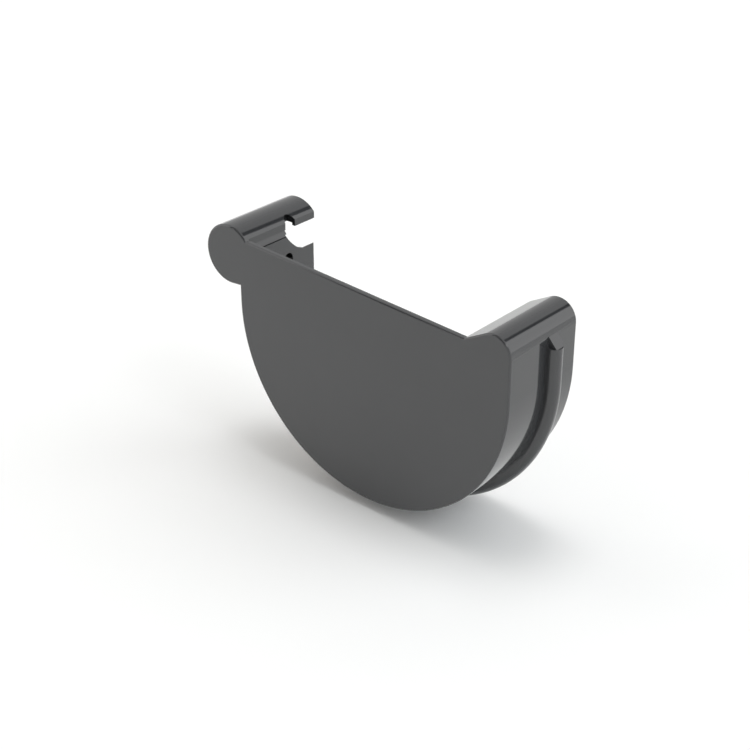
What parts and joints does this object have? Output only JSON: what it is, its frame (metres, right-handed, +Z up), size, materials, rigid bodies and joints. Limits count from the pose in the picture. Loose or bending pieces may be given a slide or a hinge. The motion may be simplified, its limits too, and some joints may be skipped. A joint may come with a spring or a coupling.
{
  "type": "gutter end cap",
  "caption": "Half-round rain gutter end cap with a bead tube, a notched inner lip, a turned-in rear shoulder and a rubber seal strip in a ribbed channel.",
  "frame": {"origin": "centre of the half-round skirt, on the plate's outer face", "axes": "+X across the gutter to the rear wall, +Y from the outer face into the gutter, +Z up"},
  "size_m": [0.1519, 0.0391, 0.0996],
  "materials": {
    "cap_plastic": "smooth moulded PVC, dark grey, glossy",
    "seal_rubber": "matt black extruded rubber"
  },
  "bodies": {
    "root": {"end_cap": "cap_plastic", "rubber_seal": "seal_rubber"}
  },
  "joints": []
}
